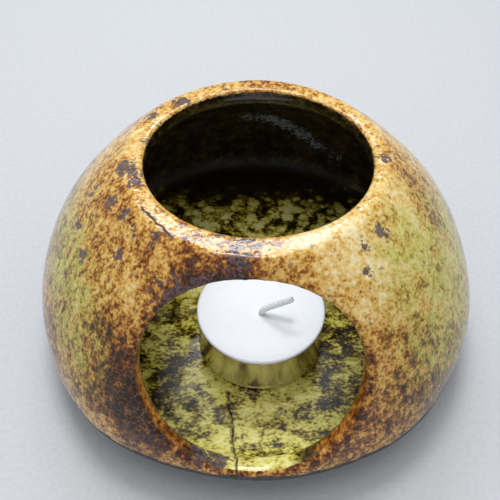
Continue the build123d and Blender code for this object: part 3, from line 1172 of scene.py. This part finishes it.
@dataclass(frozen=True)
class Glaze:
    """The glossy mottled glaze, its dark inside, its green floor and the bare foot."""

    effects: Effects
    outside: Stops = (
        (0.0, "#24110a"), (0.2, "#4a240d"), (0.35, "#8a4c17"), (0.47, "#bf8530"),
        (0.6, "#dcae57"), (0.78, "#ebcc86"), (1.0, "#f6e6b8"),
    )
    mossy: Stops = (
        (0.0, "#35260d"), (0.26, "#7a6620"), (0.42, "#b0a03c"), (0.6, "#ccc062"), (1.0, "#e8dfa0"),
    )
    within: Stops = ((0.0, "#0c0a05"), (0.4, "#2a2010"), (0.66, "#4c3c1d"), (1.0, "#706640"))
    ground: Stops = (
        (0.0, "#161103"), (0.22, "#3b2c07"), (0.38, "#8a7622"), (0.5, "#c2b546"),
        (0.66, "#e2d86e"), (1.0, "#f3eca0"),
    )
    # Colour of the painted sheen streak on the inner back wall.
    frost_and_painted_sheen: str = "#a4afbf"
    violet: str = "#6a5a60"
    violet_deep: str = "#382a30"
    clay: str = "#4a4a4c"

    def cloud(self, graph: Graph, place: Any, size: float, detail: float = 3.0) -> Any:
        """A mask of soft spots of about a size."""
        return graph.group(
            self.effects.mottle, Vector=place, scale=1 / size, detail=detail, low=0.32, high=0.68
        )

    def outside_level(self, graph: Graph, place: Any) -> Any:
        """How light the outer glaze is, from dark brown at nought to cream at one."""
        runs = graph.group(
            self.effects.runs, Vector=place, reach=60 * MM, squash=0.22, scale=1 / (1.9 * MM),
            low=0.5, high=0.66,
        )
        steep = graph.eased(
            graph.put("ShaderNodeSeparateXYZ", {0: place}).outputs["Z"], 62 * MM, 30 * MM
        )
        dark_runs = graph.maths("MULTIPLY", runs, steep)
        return graph.weighed(
            (self.cloud(graph, place, 7.5 * MM), 0.15),
            (self.cloud(graph, place, 2.2 * MM, 4.0), 0.27),
            (self.cloud(graph, place, 0.85 * MM), 0.27),
            (graph.mark(Tone.CREAM.value), 0.26),
            (graph.mark(Tone.BROWN.value), -0.26),
            (dark_runs, -0.16),
            (graph.mark("lip"), 0.10),
            (graph.mark("cut_edge"), -0.08),
            (1.0, 0.15),
        )

    def outside_colour(self, graph: Graph, place: Any) -> tuple[Any, Any]:
        """Colour of the outer glaze, and a mask of its glossy violet flecks."""
        level = self.outside_level(graph, place)
        streaks = graph.group(
            self.effects.runs, Vector=place, reach=60 * MM, squash=0.2, scale=1 / (1.5 * MM),
            low=0.36, high=0.6,
        )
        ragged = graph.weighed((self.cloud(graph, place, 5 * MM), 0.6), (streaks, 0.6))
        green = graph.maths("MULTIPLY", graph.mark(Tone.GREEN.value), ragged)
        colour = graph.blend(
            graph.maths("MULTIPLY", green, 1.25, clamp=True),
            graph.ramp(level, self.outside), graph.ramp(level, self.mossy),
        )
        veins = graph.group(
            self.effects.veins, Vector=place, scale=1 / (2.1 * MM), width=0.05, ragged=1.3
        )
        veined = graph.maths("MULTIPLY", veins, graph.mark(Tone.BROWN.value))
        colour = graph.blend(graph.maths("MULTIPLY", veined, 0.22), colour, linear("#c9a36a"))
        for size, share in ((2.5, 0.26), (1.3, 0.16)):
            dots = graph.group(
                self.effects.flecks, Vector=place, scale=1 / (size * MM), size=0.34, share=share,
                ragged=1.0,
            )
            colour = graph.blend(graph.maths("MULTIPLY", dots, 0.6), colour, linear("#4a2410"))
        shade = self.cloud(graph, place, 1.6 * MM)
        # The violet mark includes the patches under the front lip's highlight, which partly paint a bluish tint for
        # its reflection.
        wanted = graph.weighed(
            (graph.mark(Tone.VIOLET.value), 0.62), (shade, 0.42), (graph.mark(Tone.BROWN.value), 0.12)
        )
        high = graph.eased(
            graph.put("ShaderNodeSeparateXYZ", {0: place}).outputs["Z"], 36 * MM, 50 * MM
        )
        strewn = graph.group(
            self.effects.flecks, Vector=place, scale=1 / (3.4 * MM), size=0.36, share=0.2, ragged=1.5
        )
        left = graph.eased(
            graph.put("ShaderNodeSeparateXYZ", {0: place}).outputs["X"], 12 * MM, -12 * MM
        )
        strewn = graph.maths("MULTIPLY", strewn, graph.maths("MULTIPLY", high, left))
        return colour, graph.maths("MAXIMUM", graph.eased(wanted, 0.56, 0.66), strewn)

    def inside_colour(self, graph: Graph, place: Any) -> Any:
        """Colour of the inner wall, with its painted sheen streak, and of the floor."""
        grain = self.cloud(graph, place, 1.2 * MM)
        wall = graph.ramp(
            graph.weighed((self.cloud(graph, place, 4 * MM, 4.0), 0.5), (grain, 0.4)), self.within
        )
        # Painted sheen: a pale streak on the inner back wall that stands in for its reflection.
        frost_and_painted_sheen = graph.weighed((graph.mark(Tone.FROST.value), 0.55), (grain, 0.5))
        wall = graph.blend(graph.eased(frost_and_painted_sheen, 0.5, 0.8), wall, linear(self.frost_and_painted_sheen))
        return graph.blend(graph.mark("floor"), wall, self.floor_colour(graph, place))

    def floor_colour(self, graph: Graph, place: Any) -> Any:
        """Colour of the floor: mottled in front, and spotted on dark ground at the back, with painted shade that
        darkens the front towards its sides and the spots towards the far back.
        """
        part = graph.put("ShaderNodeSeparateXYZ", {0: place}).outputs
        aside = graph.maths("ABSOLUTE", graph.maths("ADD", part["X"], 1.0 * MM))
        wide = graph.put("ShaderNodeMapping", {"Vector": place, "Scale": (0.85, 1.15, 1.0)}).outputs[0]
        # Painted shade: the front floor is darkened towards its sides, left and right of the candle.
        cloudy = graph.weighed(
            (self.cloud(graph, wide, 8 * MM), 0.32), (self.cloud(graph, wide, 3 * MM, 4.0), 0.36),
            (self.cloud(graph, wide, 0.9 * MM), 0.34), (graph.eased(aside, 10 * MM, 24 * MM), -0.20),
            (1.0, 0.05),
        )
        spots, specks = (
            graph.group(
                self.effects.flecks, Vector=place, scale=1 / (size * MM), size=0.62, share=share,
                ragged=0.5,
            )
            for size, share in ((3.7, 0.8), (2.0, 0.6))
        )
        # Painted shade: the back spots darken towards the far back, where the floor lies in shadow.
        painted_shade_to_back = graph.eased(part["Y"], 54 * MM, 28 * MM)
        spotted = graph.weighed(
            (spots, 0.40), (specks, 0.16), (self.cloud(graph, place, 5 * MM), 0.40),
            (self.cloud(graph, place, 1.2 * MM), 0.22), (1.0, -0.06),
        )
        back_level_with_painted_shade = graph.maths("MULTIPLY", spotted, graph.spread(painted_shade_to_back, 0.1, 1.4))
        back = graph.eased(part["Y"], -14 * MM, 2 * MM)
        ground = graph.blend(
            back, graph.ramp(cloudy, self.ground), graph.ramp(back_level_with_painted_shade, self.ground)
        )
        grey = graph.group(
            self.effects.flecks, Vector=place, scale=1 / (7.5 * MM), size=0.3, share=0.35, ragged=1.4
        )
        grey_front = graph.maths("MULTIPLY", grey, graph.spread(back, 0.75, 0.0))
        return graph.blend(grey_front, ground, linear("#6a5f55"))

    def material(self) -> bpy.types.Material:
        """Makes the material."""
        material, graph, place = new_material("stoneware_glaze")
        outer, flecks = self.outside_colour(graph, place)
        cut = graph.ramp(
            graph.weighed((self.cloud(graph, place, 2.2 * MM, 4.0), 0.6), (self.cloud(graph, place, 0.9 * MM), 0.3)),
            ((0.0, "#3f1e0c"), (0.35, "#8a4c19"), (0.7, "#c8883a"), (1.0, "#e0b06a")),
        )
        colour = graph.blend(graph.mark("cut_face"), outer, cut)
        ragged_edge = graph.weighed((graph.mark("inside"), 1.0), (self.cloud(graph, place, 1.1 * MM), 0.3), (1.0, -0.15))
        inside = graph.eased(ragged_edge, 0.35, 0.65)
        colour = graph.blend(inside, colour, self.inside_colour(graph, place))
        violet = graph.blend(
            self.cloud(graph, place, 0.8 * MM), linear(self.violet_deep), linear(self.violet)
        )
        colour = graph.blend(graph.maths("MULTIPLY", flecks, 0.9), colour, violet)
        stained = graph.maths(
            "MULTIPLY", graph.mark("crack"), graph.spread(self.cloud(graph, place, 2 * MM), 0.45, 1.0)
        )
        halo = graph.weighed((graph.mark("stain"), 0.55), (self.cloud(graph, place, 1.1 * MM), 0.5))
        colour = graph.blend(
            graph.maths("MULTIPLY", graph.eased(halo, 0.6, 0.8), 0.6), colour, linear("#453c38")
        )
        colour = graph.blend(stained, colour, linear("#241f1c"))
        ragged_foot = graph.weighed(
            (graph.mark("bare"), 1.0), (self.cloud(graph, place, 6 * MM, 4.0), 0.5), (1.0, -0.25)
        )
        bare = graph.eased(ragged_foot, 0.5, 0.62)
        clay = graph.blend(self.cloud(graph, place, 0.7 * MM), linear("#343334"), linear("#5b5a5b"))
        colour = graph.blend(bare, colour, clay)
        far_back = graph.eased(
            graph.put("ShaderNodeSeparateXYZ", {0: place}).outputs["Y"], 38 * MM, 52 * MM
        )
        dull = graph.maths("MAXIMUM", graph.maths("MULTIPLY", inside, far_back), graph.mark("sill"))
        smooth = graph.weighed(
            (self.cloud(graph, place, 3 * MM), 0.10), (flecks, -0.04), (bare, 0.62), (dull, 0.40),
            (1.0, 0.06),
        )
        peel = graph.weighed(
            (self.cloud(graph, place, 2.4 * MM, 2.0), 0.7), (self.cloud(graph, place, 0.9 * MM), 0.22),
            (flecks, -0.15),
        )
        lively = graph.maths("MULTIPLY", peel, graph.spread(graph.mark("lip"), 1.0, 0.6))
        calm = graph.maths("MULTIPLY", lively, graph.spread(inside, 1.0, 0.12))
        height = graph.weighed((calm, 1.0), (graph.mark("crack"), -0.6))
        surface(graph, height, 0.1 * MM, Base_Color=colour, Roughness=smooth, IOR=1.5)
        return material


@dataclass(frozen=True)
class Aluminium:
    """Bright pressed foil with faint drawing marks that run up the wall."""

    effects: Effects
    centre: Vector

    def material(self) -> bpy.types.Material:
        """Makes the material."""
        material, graph, place = new_material("cup_aluminium")
        moved = graph.put("ShaderNodeMapping", {"Vector": place, "Location": -self.centre}).outputs[0]
        marks = graph.group(
            self.effects.runs, Vector=moved, reach=19 * MM, squash=0.05, scale=1 / (2.4 * MM),
            low=0.3, high=0.7,
        )
        colour = graph.blend(marks, linear("#dcd9d2"), linear("#e8e6e0"))
        roughness = graph.spread(marks, 0.2, 0.3)
        surface(graph, marks, 0.02 * MM, Base_Color=colour, Roughness=roughness, Metallic=1.0)
        return material


@dataclass(frozen=True)
class WaxFinish:
    """White wax with a soft sheen and a faint frost."""

    effects: Effects

    def material(self) -> bpy.types.Material:
        """Makes the material."""
        material, graph, place = new_material("candle_wax")
        # The wax's frost is its own faint mottle in colour and gloss, not painted light.
        frost_and_painted_sheen = graph.group(self.effects.mottle, Vector=place, scale=1 / (3 * MM), detail=4.0, low=0.3, high=0.7)
        grain = graph.group(self.effects.mottle, Vector=place, scale=1 / (0.4 * MM), detail=2.0, low=0.3, high=0.7)
        colour = graph.blend(frost_and_painted_sheen, linear("#f5f8fd"), linear("#fafcff"))
        surface(
            graph, grain, 0.008 * MM, Base_Color=colour, Roughness=graph.spread(frost_and_painted_sheen, 0.36, 0.46),
            Subsurface_Weight=0.25, Subsurface_Radius=(1.0, 0.9, 0.85), Subsurface_Scale=1.6 * MM,
        )
        return material


@dataclass(frozen=True)
class WickFinish:
    """Waxed cotton cord."""

    effects: Effects

    def material(self) -> bpy.types.Material:
        """Makes the material."""
        material, graph, place = new_material("wick_cotton")
        fibre = graph.group(self.effects.mottle, Vector=place, scale=1 / (0.25 * MM), detail=3.0, low=0.3, high=0.7)
        colour = graph.blend(fibre, linear("#f4f8f7"), linear("#fcfefd"))
        surface(
            graph, fibre, 0.015 * MM, Base_Color=colour, Roughness=graph.spread(fibre, 0.4, 0.6),
            Subsurface_Weight=1.0, Subsurface_Radius=(1.0, 0.95, 0.9), Subsurface_Scale=1.6 * MM,
        )
        return material


@dataclass(frozen=True)
class TinPlate:
    """Thin tinned sheet of the wick's plate."""

    effects: Effects

    def material(self) -> bpy.types.Material:
        """Makes the material."""
        material, graph, place = new_material("plate_tin")
        cloud = graph.group(self.effects.mottle, Vector=place, scale=1 / MM, detail=3.0, low=0.3, high=0.7)
        colour = graph.blend(cloud, linear("#9c9c9a"), linear("#b8b8b5"))
        surface(
            graph, cloud, 0.01 * MM, Base_Color=colour, Roughness=graph.spread(cloud, 0.25, 0.4),
            Metallic=1.0,
        )
        return material


@dataclass(frozen=True)
class Lamp:
    """A soft square lamp that looks at the origin, with its angles in degrees."""

    name: str
    width: float
    depth: float
    elevation: float
    azimuth: float
    watts: float
    distance: float = 0.75
    tint: str = "#ffffff"

    def hang(self) -> None:
        """Hangs the lamp behind and above the burner."""
        data = bpy.data.lights.new(self.name, "AREA")
        data.shape, data.size, data.size_y = "RECTANGLE", self.width, self.depth
        data.energy, data.color = self.watts, linear(self.tint)[:3]
        made = bpy.data.objects.new(self.name, data)
        turn = Matrix.Rotation(math.radians(-self.azimuth), 4, "Z")
        tip = Matrix.Rotation(math.radians(self.elevation - 90), 4, "X")
        made.matrix_world = turn @ tip @ Matrix.Translation((0, 0, self.distance))
        bpy.context.scene.collection.objects.link(made)


@dataclass
class Studio:
    """The pale floor, the soft light and the camera at the photograph's angle."""

    pitch: float = 0.85
    distance: float = 216.66 * MM
    target: Point = (-1.74 * MM, 0.0, 30.0 * MM)
    focal_pixels: float = 700.0
    frame_pixels: float = 500.0
    sensor_mm: float = 36.0
    floor_radius: float = 0.9
    lamps: tuple["Lamp", ...] = (
        Lamp("overhead", width=0.22, depth=0.18, elevation=79, azimuth=-12, watts=2.0),
        Lamp("ceiling", width=0.40, depth=0.34, elevation=99, azimuth=0, watts=0.9),
        Lamp("window", width=0.42, depth=0.09, elevation=54, azimuth=-8, watts=1.7, tint="#eef5ff"),
    )
    sky_strength: float = 0.52

    def camera(self) -> None:
        """Aims the camera down into the burner from the front."""
        data = bpy.data.cameras.new("camera")
        data.sensor_width = self.sensor_mm
        data.lens = self.sensor_mm * self.focal_pixels / self.frame_pixels
        data.clip_start, data.clip_end = 10 * MM, 10.0
        made = bpy.data.objects.new("camera", data)
        back = Vector((0.0, -math.cos(self.pitch), math.sin(self.pitch)))
        made.location = Vector(self.target) + back * self.distance
        made.rotation_euler = (math.pi / 2 - self.pitch, 0.0, 0.0)
        bpy.context.scene.collection.objects.link(made)
        bpy.context.scene.camera = made

    def world(self) -> None:
        """Fills the room with even pale light."""
        world = bpy.data.worlds.new("room")
        world.use_nodes = True
        world.node_tree.nodes.clear()
        graph = Graph(world.node_tree)
        light = graph.put(
            "ShaderNodeBackground", {"Color": linear("#f0f2f6"), "Strength": self.sky_strength}
        )
        graph.put("ShaderNodeOutputWorld", {"Surface": light.outputs[0]})
        bpy.context.scene.world = world

    def floor(self, effects: Effects) -> None:
        """Lays the pale floor."""
        mesh = bmesh.new()
        bmesh.ops.create_circle(mesh, cap_ends=True, radius=self.floor_radius, segments=96)
        made = as_object("floor", mesh)
        material, graph, place = new_material("pale_floor")
        grain = graph.group(effects.mottle, Vector=place, scale=1 / (1.5 * MM), detail=3.0, low=0.3, high=0.7)
        colour = graph.blend(grain, linear("#c9cbcd"), linear("#cfd1d3"))
        surface(graph, grain, 0.02 * MM, Base_Color=colour, Roughness=0.7)
        dress(made, material)

    def build(self, effects: Effects) -> None:
        """Sets up the floor, the lights, the camera and the plain view."""
        self.floor(effects)
        for lamp in self.lamps:
            lamp.hang()
        self.world()
        self.camera()
        bpy.context.scene.view_settings.view_transform = "Standard"


def main() -> None:
    """Builds the burner and its candle, dresses them and sets up the studio."""
    logging.basicConfig(level=logging.INFO, format="%(name)s: %(message)s")
    effects = Effects()
    Studio().build(effects)
    Dome().build(Glaze(effects).material())
    candle = Candle()
    candle.build(Aluminium(effects, candle.centre), WaxFinish(effects), WickFinish(effects))
    dress_plate = TinPlate(effects).material()
    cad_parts["wick_plate"].data.materials.clear()
    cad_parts["wick_plate"].data.materials.append(dress_plate)


if __name__ == "__main__":
    main()
